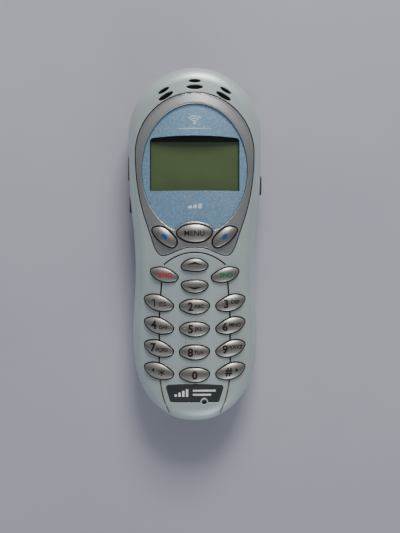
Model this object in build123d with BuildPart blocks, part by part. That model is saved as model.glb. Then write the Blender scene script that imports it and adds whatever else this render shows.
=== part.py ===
from build123d import *
import math
import os

# A candy-bar mobile phone lying on its back: +X to its right, +Y to the earpiece end, +Z out of the face.
# The origin is on the table, under the middle of the case's outline. All lengths are in millimetres.

# Case
LENGTH = 122.0
HALF_L = LENGTH / 2
HEAD_R = 23.0  # the head is a half circle
HEAD_Y = HALF_L - HEAD_R
CHIN_Z = 19.2  # height of the face at the chin
SWEEP_END = 66.0  # the face's two long arcs run this far each way
INFLECT_Y = 14.0  # where the hollow arc over the keypad meets the round one over the head
HOLLOW_R = 1100.0
ROUND_R = 320.0
CROWN_R = 60.0  # crown of the face across the case
EDGE_FRONT = 5.3
EDGE_BACK = 7.0
WALL = 1.6
FACE_WALL = 1.8
BACK_WALL = 1.5
PART_Z = 11.4  # parting line between the two housings
PART_GAP = 0.12
ABOVE = 30.0  # higher than anything in the phone

# Keys, bezel, lens and display
KEY_GAP = 0.38
KEY_EDGE = 0.3
FLANGE_OUT = 0.35
FLANGE_T = 0.7
FLANGE_UNDER = 0.35
STEM_R = 1.5
STEM_CLEAR = 0.6
BEZEL_T = 1.0
BEZEL_PROUD = 0.25
BEZEL_R = 20.35
BEZEL_Y = 31.3
OVAL_Y, OVAL_A, OVAL_B = 25.5, 18.1, 22.3
LENS_T, LENS_PROUD, PRINT_T = 0.87, 0.12, 0.19
WINDOW_X, WINDOW_LOW, WINDOW_HIGH, WINDOW_BOW = 15.35, 18.25, 36.35, 0.75
PANEL_TOP = 18.6
PANEL_BACK = 16.9
PANEL_X, PANEL_LOW, PANEL_HIGH = 15.75, 17.9, 36.9

# Inside
BOARD_Z, BOARD_T = 10.5, 1.0
DOME_T = 0.25
MAT_TOP = 12.9
SCREWS = ((-10.5, 47.0), (10.5, 47.0), (-10.5, -50.5), (10.5, -50.5))
BAY_LEFT, BAY_RIGHT, BAY_LOW, BAY_HIGH, BAY_ROOF = -15.4, 13.6, -39.0, 18.4, 7.3

# Battery door and its latch
DOOR_X, DOOR_LOW, DOOR_T, DOOR_GAP = 14.9, -40.0, 1.4, 0.3
PIN_Y, PIN_Z, PIN_R, PIN_HOLE_R, PIN_OUT = 19.3, 0.75, 0.4, 0.46, 0.8
HINGE_R = 0.7

# Antenna
ANT_X, ANT_Z = 16.6, 7.2
WHIP_R, COLLAR_R = 0.6, 0.9
KNOB_R = 2.2
BUSH_LOW, BUSH_TOP = 40.0, 45.0

# Ends
JACK_Z, JACK_R, JACK_BORE_R = 8.3, 2.6, 1.3
MIC_X, MIC_Y = 3.3, -54.1

os.makedirs("parts", exist_ok=True)


def save(builder, name):
    """Label a finished piece and write it as its own file."""
    builder.part.label = name
    export_step(builder.part, "parts/" + name + ".step")


def crest_z(y):
    """Height of the face's crest at y."""
    run = min(y, INFLECT_Y) + SWEEP_END
    low = CHIN_Z + run**2 / (2 * HOLLOW_R)
    past = max(y - INFLECT_Y, 0)
    return low + past * run / HOLLOW_R - past**2 / (2 * ROUND_R)


def face_z(x, y):
    """Height of the crowned face at x, y."""
    return crest_z(y) - (CROWN_R - math.sqrt(CROWN_R**2 - x**2))


def block(x0, x1, y0, y1, z0, z1, mode=Mode.ADD):
    """A box between two corners, in the piece being built."""
    with Locations(((x0 + x1) / 2, (y0 + y1) / 2, (z0 + z1) / 2)):
        Box(x1 - x0, y1 - y0, z1 - z0, mode=mode)


def rod(radius, start, end, mode=Mode.ADD):
    """A round bar between two points on one axis, in the piece being built."""
    run = Vector(*end) - Vector(*start)
    with Locations(Plane(origin=start, z_dir=run.normalized())):
        Cylinder(radius, run.length, align=(Align.CENTER, Align.CENTER, Align.MIN), mode=mode)


def prism(sketch, z0, z1, mode=Mode.ADD):
    """A sketch raised from z0 to z1, in the piece being built."""
    extrude(sketch.moved(Location((0, 0, z0))), amount=z1 - z0, mode=mode)


def beside(curve, distance, steps):
    """Points at a distance to the left of a flat curve, evenly spaced from its start to its end."""
    points = []
    for step in range(steps + 1):
        along = curve % (step / steps)
        points.append(curve @ (step / steps) + Vector(-along.Y, along.X) * distance)
    return points


def case_outline(inset=0.0):
    """The case from the front: a half-circle head, a waist, a fuller lower body and a round chin."""
    with BuildSketch(mode=Mode.PRIVATE) as outline:
        with BuildLine():
            CenterArc((0, HEAD_Y), HEAD_R - inset, 0, 180)
            for side in (1, -1):
                ends = ((0, -1), (-side, 0))
                flank = Spline(
                    (side * HEAD_R, HEAD_Y),
                    (side * 22.75, 24.0),
                    (side * 22.35, 15.5),
                    (side * 21.55, 7.5),
                    (side * 20.9, -0.5),
                    (side * 20.65, -9.0),
                    (side * 20.9, -17.0),
                    (side * 21.4, -25.0),
                    (side * 21.6, -32.5),
                    (side * 20.95, -41.0),
                    (side * 18.8, -48.6),
                    (side * 14.9, -54.4),
                    (side * 8.4, -59.3),
                    (0, -HALF_L),
                    tangents=ends,
                    mode=Mode.PRIVATE,
                )
                Spline(*beside(flank, -side * inset, 16), tangents=ends)
        make_face()
    return outline.sketch


def under_face(lift=0.0):
    """Everything below the face when it is raised by lift: one crowned section swept along the crest."""
    with BuildPart(mode=Mode.PRIVATE) as under:
        with BuildLine(Plane.YZ) as crest:
            hollow_arc = TangentArc((-SWEEP_END, CHIN_Z), (INFLECT_Y, crest_z(INFLECT_Y)), tangent=(1, 0))
            TangentArc(hollow_arc @ 1, (SWEEP_END, crest_z(SWEEP_END)), tangent=hollow_arc % 1)
        with BuildSketch(Plane(origin=(0, -SWEEP_END, CHIN_Z), x_dir=(-1, 0, 0), z_dir=(0, 1, 0))):
            half, deep = 27.0, 26.0
            radius = CROWN_R + lift
            drop = radius - math.sqrt(radius**2 - half**2)
            with BuildLine():
                crown = ThreePointArc((-half, lift - drop), (0, lift), (half, lift - drop))
                Polyline(crown @ 1, (half, -deep), (-half, -deep), crown @ 0)
            make_face()
        sweep(path=crest.wire())
    return under.part


def face_plate(sketch, low, high):
    """A plate cut to a sketch that follows the face between two lifts."""
    with BuildPart(mode=Mode.PRIVATE) as plate:
        prism(sketch, 8.0, ABOVE)
        add(under_face(high), mode=Mode.INTERSECT)
        add(under_face(low), mode=Mode.SUBTRACT)
    return plate.part


# Key outlines about their own centres. The leaf is the left column's key and the soft leaf the left soft key.
LEAF = ((-4.75, 2.0), (-1.6, 2.75), (2.2, 1.35), (4.75, -1.55), (2.5, -2.75), (-1.2, -2.45), (-4.1, -0.5))
SOFT = ((-3.9, 3.05), (-0.95, 3.25), (2.3, 0.95), (3.95, -2.1), (3.25, -3.35), (0.3, -2.75), (-3.05, 0.1))
OVAL = ((-5, 0.35), (-2.9, 1.85), (0, 2.2), (2.9, 1.85), (5, 0.35), (3.3, -1.75), (0, -2.55), (-3.3, -1.75))
ARROW = ((-4.5, -0.3), (-2.8, 1.55), (0, 2.25), (2.8, 1.55), (4.5, -0.3), (2.9, -1.5), (0, -1.8), (-2.9, -1.5))
MENU = ((-5.85, 0.6), (-3.5, 2.3), (0, 2.85), (3.5, 2.3), (5.85, 0.6), (3.8, -2.2), (0, -3.1), (-3.8, -2.2))

# Name: outline, centre x, centre y, scale x, scale y. A negative scale mirrors the outline.
KEYS = {
    "key_menu": (MENU, 0.0, 3.9, 1, 1),
    "key_soft_left": (SOFT, -10.15, 2.6, 1, 1),
    "key_soft_right": (SOFT, 10.15, 2.6, -1, 1),
    "key_up": (ARROW, 0.0, -7.2, 1, 1),
    "key_down": (ARROW, 0.0, -14.2, 1, -1),
    "key_end": (LEAF, -10.3, -10.3, 0.95, 0.88),
    "key_send": (LEAF, 10.3, -10.3, -0.95, 0.88),
}
SIDE_COLUMN_X = 12.15
ROWS = (("1", "2", "3", -19.95), ("4", "5", "6", -27.75), ("7", "8", "9", -35.65), ("star", "0", "hash", -43.4))
for left, middle, right, row_y in ROWS:
    KEYS["key_" + left] = (LEAF, -SIDE_COLUMN_X, row_y, 1, 1)
    KEYS["key_" + middle] = (OVAL, 0.0, row_y - 1.2, 1, 1)
    KEYS["key_" + right] = (LEAF, SIDE_COLUMN_X, row_y, -1, 1)


def key_outline(name, grow=0.0):
    """A key's smooth outline in its place, grown outward by grow."""
    shape, key_x, key_y, scale_x, scale_y = KEYS[name]
    outward = math.copysign(grow, scale_x * scale_y)
    with BuildSketch(mode=Mode.PRIVATE) as outline:
        with BuildLine():
            points = [(key_x + scale_x * x, key_y + scale_y * y) for x, y in shape]
            rim = Spline(*points, periodic=True, mode=Mode.PRIVATE)
            Spline(*beside(rim, outward, 20)[:-1], periodic=True)
        make_face()
    return outline.sketch


def bezel_outline(grow=0.0):
    """The teardrop: a half circle drawn in below to two rounded feet with an arch between them."""
    with BuildSketch(mode=Mode.PRIVATE) as outline:
        with BuildLine():
            CenterArc((0, BEZEL_Y), BEZEL_R + grow, 0, 180)
            for side in (1, -1):
                ends = ((0, -1), (-side, 0))
                flank = Spline(
                    (side * BEZEL_R, BEZEL_Y),
                    (side * 20.05, 24.0),
                    (side * 19.1, 17.0),
                    (side * 16.9, 8.4),
                    (side * 14.8, 2.2),
                    (side * 13.1, -2.2),
                    (side * 11.6, -3.75),
                    (side * 9.6, -3.6),
                    (side * 5.4, -1.9),
                    (0, -0.95),
                    tangents=ends,
                    mode=Mode.PRIVATE,
                )
                Spline(*beside(flank, side * grow, 28), tangents=ends)
        make_face()
    return outline.sketch


def lens_outline(grow=0.0):
    """The lens's oval, less the rim around the menu key."""
    with BuildSketch(mode=Mode.PRIVATE) as outline:
        with Locations((0, OVAL_Y)):
            Ellipse(OVAL_A + grow, OVAL_B + grow)
        add(key_outline("key_menu", KEY_GAP + 0.75 - grow), mode=Mode.SUBTRACT)
    return outline.sketch


def window_outline(grow=0.0):
    """The display window, bowed at its top edge."""
    side, low, high = WINDOW_X + grow, WINDOW_LOW - grow, WINDOW_HIGH + grow
    with BuildSketch(mode=Mode.PRIVATE) as outline:
        with BuildLine():
            bow = ThreePointArc((-side, high), (0, high + WINDOW_BOW), (side, high))
            Polyline(bow @ 1, (side, low), (-side, low), bow @ 0)
        make_face()
        fillet(outline.vertices().group_by(Axis.Y)[-1], 1.3)
        fillet(outline.vertices().group_by(Axis.Y)[0], 0.5)
    return outline.sketch


def badge_outline(grow=0.0):
    """The badge: a bowed top, sides that draw in, and a bite around the microphone hole."""
    with BuildSketch(mode=Mode.PRIVATE) as outline:
        with BuildLine():
            bow = ThreePointArc((-10.1 - grow, -48.5 + grow), (0, -48.0 + grow), (10.1 + grow, -48.5 + grow))
            Polyline(bow @ 1, (8.2 + grow, -54.2 - grow), (-8.2 - grow, -54.2 - grow), bow @ 0)
        make_face()
        fillet(outline.vertices(), 1.0)
        with Locations((MIC_X, MIC_Y)):
            Circle(1.5 - grow, mode=Mode.SUBTRACT)
    return outline.sketch


def board_outline(inset, low, high):
    """A sheet inside the case between two cross lines, with room for the screw posts."""
    with BuildSketch(mode=Mode.PRIVATE) as outline:
        add(case_outline(inset))
        with Locations((0, (low + high) / 2)):
            Rectangle(2 * HEAD_R, high - low, mode=Mode.INTERSECT)
        with Locations(*SCREWS):
            Circle(2.4 + (inset - 2.75), mode=Mode.SUBTRACT)
    return outline.sketch


# The whole case and the hollow inside it, which the two housings share.
with BuildPart() as case:
    prism(case_outline(), 0, ABOVE)
    add(under_face(), mode=Mode.INTERSECT)
    fillet(case.edges().filter_by(lambda edge: edge.center().Z > PART_Z), EDGE_FRONT)
    fillet(case.edges().group_by(Axis.Z)[0], EDGE_BACK)

with BuildPart() as hollow:
    prism(case_outline(WALL), BACK_WALL, ABOVE)
    add(under_face(-FACE_WALL), mode=Mode.INTERSECT)
    fillet(hollow.edges().filter_by(lambda edge: edge.center().Z > PART_Z), 1.5)
    fillet(hollow.edges().group_by(Axis.Z)[0], EDGE_BACK - WALL)

# Front housing: the face half, with earpiece slots, key holes, a recess for the bezel and one for the badge.
# Fine grooves arch over the up key and thread the two outer key columns down to the chin.
EAR_SLOTS = (
    (0.0, 55.65, 2.05, 0.66, 0),
    (0.0, 53.55, 2.85, 0.85, 0),
    (-10.6, 52.5, 2.15, 0.66, 30),
    (-9.85, 50.55, 2.85, 0.85, 30),
    (10.6, 52.5, 2.15, 0.66, -30),
    (9.85, 50.55, 2.85, 0.85, -30),
)
GROOVE_W, GROOVE_DEEP = 0.5, 0.5

# the arch and the two threads, each a ribbon between two curves beside its middle line
with BuildLine() as arch:
    ThreePointArc((-10.6, -7.0), (0, -2.75), (10.6, -7.0))
groove_lines = [arch.edge()]
for side in (-1, 1):
    with BuildLine() as thread:
        Spline(
            (side * 11.2, -9.0),
            (side * 11.5, -15.0),
            (side * 12.1, -24.0),
            (side * 12.2, -34.0),
            (side * 11.9, -46.7),
            (side * 8.7, -58.2),
        )
    groove_lines.append(thread.edge())

with BuildSketch() as grooves:
    for line in groove_lines:
        with BuildLine():
            left = Spline(*beside(line, GROOVE_W / 2, 12))
            right = Spline(*beside(line, -GROOVE_W / 2, 12))
            Line(left @ 0, right @ 0)
            Line(left @ 1, right @ 1)
        make_face()

with BuildPart() as front_housing:
    add(case.part)
    add(face_plate(bezel_outline(0.22), -BEZEL_T - 0.05, 3), mode=Mode.SUBTRACT)
    add(face_plate(grooves.sketch, -GROOVE_DEEP, 3), mode=Mode.SUBTRACT)
    add(hollow.part, mode=Mode.SUBTRACT)
    split(bisect_by=Plane.XY.offset(PART_Z), keep=Keep.TOP)
    add(face_plate(badge_outline(0.12), -0.4, 3), mode=Mode.SUBTRACT)
    for x, y in SCREWS:
        post_top = face_z(abs(x) + 2.0, y) - FACE_WALL + 0.6
        rod(2.1, (x, y, PART_Z + 0.3), (x, y, post_top))
        rod(0.9, (x, y, PART_Z), (x, y, post_top - 1.2), mode=Mode.SUBTRACT)
    with BuildSketch(Plane.XY.offset(PART_Z)):
        for name in KEYS:
            add(key_outline(name, KEY_GAP))
        add(window_outline(0.5))
    extrude(amount=ABOVE - PART_Z, mode=Mode.SUBTRACT)
    for slot_x, slot_y, long_r, short_r, turn in EAR_SLOTS:
        with BuildSketch(Plane.XY.offset(PART_Z + 5)):
            with Locations(Location((slot_x, slot_y), turn)):
                Ellipse(long_r, short_r)
        extrude(amount=12, mode=Mode.SUBTRACT)
    rod(0.85, (MIC_X, MIC_Y, PART_Z + 3), (MIC_X, MIC_Y, PART_Z + 12), mode=Mode.SUBTRACT)
save(front_housing, "front_housing")

# Rear housing: the back half, with the battery bay, screw posts, antenna boss, latch bed and inner lip.
with BuildPart() as lip:
    prism(case_outline(WALL + 0.08), PART_Z - 1.1, PART_Z + 0.9)
    prism(case_outline(WALL - 0.5), PART_Z - 1.1, PART_Z - 0.5)
    prism(case_outline(WALL + 0.85), PART_Z - 2, PART_Z + 2, mode=Mode.SUBTRACT)

with BuildPart() as antenna_boss:
    rod(KNOB_R + 1.0, (ANT_X, BUSH_LOW - 1.5, ANT_Z), (ANT_X, 58, ANT_Z))
    prism(case_outline(0.6), 0.8, 12, mode=Mode.INTERSECT)

# Side keys: side of the case, middle y, half length, how far the case's wall and the key's face stand out.
SIDE_KEYS = {
    "volume_key": (-1, 27.0, 4.35, 22.8, 23.5),
    "smart_key": (-1, 14.3, 3.05, 22.1, 22.95),
    "voice_key": (1, 21.0, 3.35, 22.5, 23.5),
}
SIDE_Z, SIDE_H = 9.1, 2.7

with BuildPart() as rear_housing:
    add(case.part)
    add(hollow.part, mode=Mode.SUBTRACT)
    split(bisect_by=Plane.XY.offset(PART_Z - PART_GAP), keep=Keep.BOTTOM)
    add(lip.part)
    add(antenna_boss.part)
    block(-16.4, 16.2, BAY_LOW - 2.4, 21.0, 1.2, 2.6)
    block(BAY_LEFT - 1, BAY_RIGHT + 1, BAY_LOW - 1, 21.0, 1.2, BAY_ROOF + 0.9)
    block(-6.4, 6.4, -50.0, -41.0, 1.2, 2.7)
    for x, y in SCREWS:
        rod(2.9, (x, y, 1.2), (x, y, BOARD_Z - 0.05))
    block(BAY_LEFT, BAY_RIGHT, BAY_LOW, BAY_HIGH, -1, BAY_ROOF, mode=Mode.SUBTRACT)
    # the door's bed, with a round seat for its hinge edge and a blind hole for each pin
    door_bed = DOOR_X + DOOR_GAP
    block(-door_bed, door_bed, DOOR_LOW - 0.25, PIN_Y, -1, DOOR_T + DOOR_GAP, mode=Mode.SUBTRACT)
    block(-door_bed, door_bed, PIN_Y - 1.5, PIN_Y + HINGE_R + 0.35, -1, PIN_Z, mode=Mode.SUBTRACT)
    rod(HINGE_R + 0.35, (-door_bed, PIN_Y, PIN_Z), (door_bed, PIN_Y, PIN_Z), mode=Mode.SUBTRACT)
    pin_end = DOOR_X + PIN_OUT + DOOR_GAP
    rod(PIN_HOLE_R, (-pin_end, PIN_Y, PIN_Z), (pin_end, PIN_Y, PIN_Z), mode=Mode.SUBTRACT)
    # the latch's bed and the grooves for its wings
    block(-4.8, 4.8, -47.2, DOOR_LOW - 0.2, -1, DOOR_T + DOOR_GAP, mode=Mode.SUBTRACT)
    block(-5.4, 5.4, -47.2, DOOR_LOW - 0.9, 0.55, 1.25, mode=Mode.SUBTRACT)
    for x, y in SCREWS:
        rod(1.9, (x, y, -1), (x, y, 2.2), mode=Mode.SUBTRACT)
        rod(1.0, (x, y, -1), (x, y, PART_Z + 2), mode=Mode.SUBTRACT)
    rod(KNOB_R + 0.25, (ANT_X, BUSH_TOP - 1, ANT_Z), (ANT_X, HALF_L, ANT_Z), mode=Mode.SUBTRACT)
    rod(1.75, (ANT_X, BUSH_LOW - 4, ANT_Z), (ANT_X, BUSH_TOP, ANT_Z), mode=Mode.SUBTRACT)
    rod(JACK_R + 0.25, (0, HALF_L - 6, JACK_Z), (0, HALF_L + 3, JACK_Z), mode=Mode.SUBTRACT)
    block(-7.6, 7.6, -HALF_L - 3, -55, 5.8, 9.6, mode=Mode.SUBTRACT)
    for out, key_y, half, wall_x, face_x in SIDE_KEYS.values():
        with BuildSketch(Plane(origin=(out * (wall_x - 4), key_y, SIDE_Z), x_dir=(0, 1, 0), z_dir=(out, 0, 0))):
            RectangleRounded(2 * half + 0.7, SIDE_H + 0.7, 1.0)
        extrude(amount=6, mode=Mode.SUBTRACT)
save(rear_housing, "rear_housing")

# Battery door: a flat plate with grip ribs, a full-round hinge edge and two stub pins.
with BuildPart() as battery_door:
    block(-DOOR_X, DOOR_X, DOOR_LOW, PIN_Y, 0, DOOR_T)
    fillet(battery_door.edges().filter_by(Axis.Z).group_by(Axis.Y)[0], 1.2)
    block(-DOOR_X, DOOR_X, PIN_Y - 1.2, PIN_Y, 0, PIN_Z - HINGE_R, mode=Mode.SUBTRACT)
    rod(HINGE_R, (-DOOR_X, PIN_Y, PIN_Z), (DOOR_X, PIN_Y, PIN_Z))
    rod(PIN_R, (-DOOR_X - PIN_OUT, PIN_Y, PIN_Z), (DOOR_X + PIN_OUT, PIN_Y, PIN_Z))
    for rib in range(-3, 4):
        rib_half = 8.0 - 0.5 * abs(rib)
        rib_y = -31.4 + 1.7 * rib
        block(-rib_half, rib_half, rib_y - 0.3, rib_y + 0.3, -0.1, 0.35, mode=Mode.SUBTRACT)
save(battery_door, "battery_door")

# Door latch: a thumb slide whose wings run in the housing's grooves.
with BuildPart() as door_latch:
    block(-4.5, 4.5, -45.2, -40.95, 0, 1.35)
    fillet(door_latch.edges().filter_by(Axis.Z), 0.6)
    block(-5.1, 5.1, -45.0, -41.2, 0.75, 1.05)
    for rib in range(3):
        block(-3.4, 3.4, -44.2 + 0.9 * rib, -43.8 + 0.9 * rib, -0.1, 0.3, mode=Mode.SUBTRACT)
save(door_latch, "door_latch")

# Battery pack: a slim sealed pack with four contact windows in its top end.
CONTACT_PITCH = 3.0
with BuildPart() as battery_pack:
    block(BAY_LEFT + 0.4, BAY_RIGHT - 0.4, BAY_LOW + 0.4, 16.4, 1.7, 7.0)
    fillet(battery_pack.edges().filter_by(Axis.Y), 1.2)
    fillet(battery_pack.edges().filter_by(Axis.Z), 0.8)
    for contact in range(4):
        start = -5.6 + CONTACT_PITCH * contact
        block(start, start + 1.6, 16.1, 17, 3.0, 5.8, mode=Mode.SUBTRACT)
save(battery_pack, "battery_pack")

# Battery contacts: a block at the end of the bay with four sprung blades.
with BuildPart() as battery_contacts:
    block(-6.6, 7.0, 17.6, BAY_HIGH - 0.02, 2.3, 6.6)
    for contact in range(4):
        start = -5.3 + CONTACT_PITCH * contact
        block(start, start + 1.0, 16.6, 17.7, 3.6, 5.2)
save(battery_contacts, "battery_contacts")

# Bezel: a silver teardrop ring, open for the lens and for the three keys in its foot.
with BuildPart() as lens_bezel:
    add(face_plate(bezel_outline(), -BEZEL_T, BEZEL_PROUD))
    with BuildSketch(Plane.XY.offset(PART_Z)):
        add(lens_outline(0.08))
        for name in ("key_menu", "key_soft_left", "key_soft_right"):
            add(key_outline(name, KEY_GAP))
    extrude(amount=ABOVE - PART_Z, mode=Mode.SUBTRACT)
save(lens_bezel, "lens_bezel")

# Lens: a clear oval moulding, and behind it a thin blue print with the window left open.
with BuildPart() as display_lens:
    add(face_plate(lens_outline(), LENS_PROUD - LENS_T, LENS_PROUD))
save(display_lens, "display_lens")

print_top = LENS_PROUD - LENS_T - 0.03
with BuildPart() as lens_print:
    add(face_plate(lens_outline(-0.05), print_top - PRINT_T, print_top))
    prism(window_outline(), PART_Z, ABOVE, mode=Mode.SUBTRACT)
save(lens_print, "lens_print")

# Badge: a thin dark plate let into the chin.
with BuildPart() as badge_plate:
    add(face_plate(badge_outline(), -0.36, 0.03))
save(badge_plate, "badge_plate")

# Display: a black shroud from the face down to the glass panel, and the carrier that holds both.
with BuildPart() as display_shroud:
    block(-17.5, 17.5, 16.0, 38.6, 16.2, ABOVE)
    add(under_face(-FACE_WALL - 0.05), mode=Mode.INTERSECT)
    prism(window_outline(0.15), PANEL_BACK, ABOVE, mode=Mode.SUBTRACT)
    pocket_x = PANEL_X + 0.1
    block(-pocket_x, pocket_x, PANEL_LOW - 0.1, PANEL_HIGH + 0.1, 16, PANEL_TOP + 0.05, mode=Mode.SUBTRACT)
save(display_shroud, "display_shroud")

with BuildPart() as lcd_panel:
    block(-PANEL_X, PANEL_X, PANEL_LOW, PANEL_HIGH, PANEL_BACK, PANEL_TOP)
save(lcd_panel, "lcd_panel")

with BuildPart() as display_carrier:
    block(-17.3, 17.3, 16.2, 38.4, BOARD_Z + BOARD_T + 0.05, PANEL_BACK - 0.8)
    block(-PANEL_X, PANEL_X, PANEL_LOW, PANEL_HIGH, BOARD_Z + BOARD_T, PANEL_BACK - 0.05)
    block(-14.6, 14.6, 18.8, 35.8, BOARD_Z, PANEL_BACK - 1.6, mode=Mode.SUBTRACT)
save(display_carrier, "display_carrier")

# Board, dome sheet and rubber mat, one above the other.
with BuildPart() as main_board:
    prism(board_outline(2.75, -58.5, 46.0), BOARD_Z, BOARD_Z + BOARD_T)
save(main_board, "main_board")

dome_z = BOARD_Z + BOARD_T
with BuildPart() as dome_sheet:
    prism(board_outline(3.4, -49.0, 15.3), dome_z, dome_z + DOME_T)
save(dome_sheet, "dome_sheet")

with BuildPart() as keypad_mat:
    prism(board_outline(3.6, -48.8, 15.1), dome_z + DOME_T + 0.02, MAT_TOP)
save(keypad_mat, "keypad_mat")

# Keys: each is a domed cap tilted to the crown, a flange that keeps it in, and a stem over its dome.
CAP_LIFT = {MENU: 1.6}
ACROSS_R = {MENU: 6.2}
ALONG_R = {SOFT: 14.0}
LEAN = {LEAF: 14.0, SOFT: 45.0}

for name, (shape, key_x, key_y, scale_x, scale_y) in KEYS.items():
    reach = max(abs(x) for x, y in shape)
    flange_top = face_z(abs(key_x) + reach + KEY_GAP + FLANGE_OUT, key_y - 2.5) - FACE_WALL - FLANGE_UNDER
    across, along = ACROSS_R.get(shape, 5.2), ALONG_R.get(shape, 17.0)
    lean = LEAN.get(shape, 0.0) * (1 if scale_x < 0 else -1)
    crown_tilt = math.degrees(math.asin(key_x / CROWN_R))
    crown_top = face_z(key_x, key_y) + CAP_LIFT.get(shape, 1.45)
    half = 9.0
    sag = along - math.sqrt(along**2 - half**2)
    with BuildPart() as dome:
        with BuildSketch(Plane.XZ):
            with BuildLine():
                ridge = ThreePointArc((-half, across - sag), (0, across), (half, across - sag))
                Polyline(ridge @ 1, (half, 0), (-half, 0), ridge @ 0)
            make_face()
        revolve(axis=Axis.X)
        block(-half, half, -across - 1, across + 1, -14, 0)
    seat = Location((key_x, key_y, crown_top - across)) * Location((0, 0, 0), (0, crown_tilt, 0))
    seat = seat * Location((0, 0, 0), (0, 0, lean))
    with BuildPart() as key:
        prism(key_outline(name), flange_top - FLANGE_T, ABOVE)
        add(dome.part.moved(seat), mode=Mode.INTERSECT)
        rim = key.edges().filter_by(lambda edge: edge.geom_type != GeomType.LINE and edge.center().Z > flange_top)
        fillet(rim, KEY_EDGE)
        prism(key_outline(name, KEY_GAP + FLANGE_OUT), flange_top - FLANGE_T - 0.1, flange_top)
        rod(STEM_R, (key_x, key_y, MAT_TOP + STEM_CLEAR), (key_x, key_y, flange_top - FLANGE_T))
        if name == "key_5":
            rod(0.3, (-3.5, key_y, flange_top), (-3.5, key_y, face_z(0, key_y) + 1.25))
    save(key, name)

# Earpiece: a speaker under the slots, and a mesh that backs them.
with BuildPart() as earpiece_speaker:
    rod(6.2, (0, 48.2, 15.6), (0, 48.2, 18.6))
    fillet(earpiece_speaker.edges().group_by(Axis.Z)[-1], 0.5)
    rod(4.6, (0, 48.2, 18.2), (0, 48.2, 19), mode=Mode.SUBTRACT)
    rod(2.2, (0, 48.2, 18.0), (0, 48.2, 18.5))
save(earpiece_speaker, "earpiece_speaker")

with BuildSketch() as mesh_area:
    with Locations((0, 53.0)):
        Rectangle(27.5, 8.4)
    add(case_outline(WALL + 1.6), mode=Mode.INTERSECT)
    with Locations(*SCREWS[:2]):
        Circle(2.4, mode=Mode.SUBTRACT)
with BuildPart() as earpiece_mesh:
    add(face_plate(mesh_area.sketch, -FACE_WALL - 0.3, -FACE_WALL - 0.04))
save(earpiece_mesh, "earpiece_mesh")

# Microphone: a capsule in a rubber boot under the hole in the chin.
with BuildPart() as microphone:
    rod(2.4, (MIC_X, MIC_Y + 0.8, 13.4), (MIC_X, MIC_Y + 0.8, 15.4))
save(microphone, "microphone")

with BuildPart() as microphone_boot:
    rod(3.1, (MIC_X, MIC_Y + 0.8, 12.6), (MIC_X, MIC_Y + 0.8, 16.3))
    rod(2.45, (MIC_X, MIC_Y + 0.8, 13.35), (MIC_X, MIC_Y + 0.8, 15.45), mode=Mode.SUBTRACT)
    rod(0.9, (MIC_X, MIC_Y + 0.1, 15), (MIC_X, MIC_Y + 0.1, 17), mode=Mode.SUBTRACT)
save(microphone_boot, "microphone_boot")

# Antenna: a fixed guide tube and bush, and a whip and knob that pull out until the collar meets the bush.
GUIDE_END = -30.0
with BuildPart() as antenna_guide:
    rod(1.5, (ANT_X, GUIDE_END, ANT_Z), (ANT_X, BUSH_LOW - 0.1, ANT_Z))
    rod(1.05, (ANT_X, GUIDE_END + 0.7, ANT_Z), (ANT_X, BUSH_LOW, ANT_Z), mode=Mode.SUBTRACT)
save(antenna_guide, "antenna_guide")

with BuildPart() as antenna_bush:
    rod(1.7, (ANT_X, BUSH_LOW, ANT_Z), (ANT_X, BUSH_TOP - 0.5, ANT_Z))
    rod(KNOB_R + 0.15, (ANT_X, BUSH_TOP - 0.95, ANT_Z), (ANT_X, BUSH_TOP, ANT_Z))
    rod(WHIP_R + 0.12, (ANT_X, BUSH_LOW - 1, ANT_Z), (ANT_X, BUSH_TOP + 1, ANT_Z), mode=Mode.SUBTRACT)
save(antenna_bush, "antenna_bush")

with BuildPart() as antenna_whip:
    rod(WHIP_R, (ANT_X, GUIDE_END + 2, ANT_Z), (ANT_X, BUSH_TOP + 2, ANT_Z))
    rod(COLLAR_R, (ANT_X, GUIDE_END + 1.6, ANT_Z), (ANT_X, GUIDE_END + 3.6, ANT_Z))
save(antenna_whip, "antenna_whip")

with BuildPart() as knob_reach:
    with BuildSketch():
        with Locations((0, HEAD_Y)):
            Circle(HEAD_R + 0.75)
    extrude(amount=20)
with BuildPart() as antenna_knob:
    rod(KNOB_R, (ANT_X, BUSH_TOP + 0.2, ANT_Z), (ANT_X, 58, ANT_Z))
    add(knob_reach.part, mode=Mode.INTERSECT)
    fillet(antenna_knob.edges().group_by(Axis.Y)[-1], 0.6)
    rod(WHIP_R + 0.01, (ANT_X, BUSH_TOP - 1, ANT_Z), (ANT_X, BUSH_TOP + 2.02, ANT_Z), mode=Mode.SUBTRACT)
save(antenna_knob, "antenna_knob")

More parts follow.
